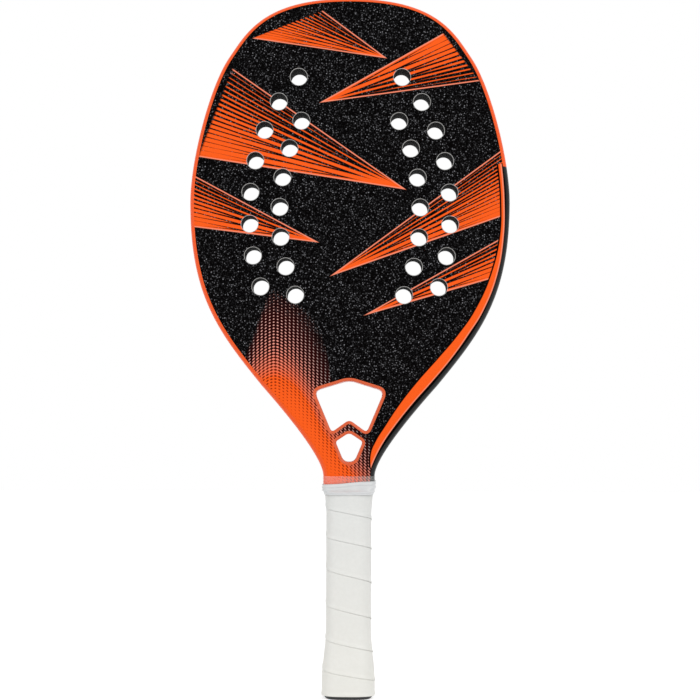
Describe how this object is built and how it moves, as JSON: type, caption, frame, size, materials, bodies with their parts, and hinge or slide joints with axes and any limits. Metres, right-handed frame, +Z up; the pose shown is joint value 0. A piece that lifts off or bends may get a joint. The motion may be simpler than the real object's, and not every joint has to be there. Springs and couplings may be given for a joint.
{
  "type": "beach tennis racket",
  "caption": "Perforated paddle racket with a foam-cored head, hollow frame, braced open throat and a wrapped, capped handle.",
  "frame": {"origin": "centre of the flat end of the butt, which the racket stands on", "axes": "+Z up the racket from the butt to the crown, +Y out of the back face, so the front face looks along -Y and +X is to its right"},
  "size_m": [0.2286, 0.0342, 0.5],
  "materials": {
    "carbon": "carbon laminate, painted black and orange under a clear coat",
    "foam": "closed-cell EVA foam, dark grey",
    "printed_face": "black laminate with a gritty sparkle and an orange print",
    "orange_paint": "orange paint over carbon laminate",
    "urethane": "tan moulded urethane foam",
    "black_plastic": "black moulded plastic",
    "steel": "bright staple wire",
    "white_wrap": "smooth white polyurethane tape",
    "clear_film": "clear film",
    "pale_tape": "pale grey elastic tape, slightly translucent"
  },
  "bodies": {
    "root": {"frame_tube": "carbon", "foam_core": "foam", "front_face": "printed_face", "back_face": "printed_face", "head_bridge": "carbon", "throat_brace": "orange_paint", "throat_block": "orange_paint", "handle_pallet_front": "urethane", "handle_pallet_back": "urethane", "butt_cap": "black_plastic", "staple_front": "steel", "staple_back": "steel", "grip_wrap": "white_wrap", "neck_film": "clear_film", "finishing_tape": "pale_tape"}
  },
  "joints": []
}
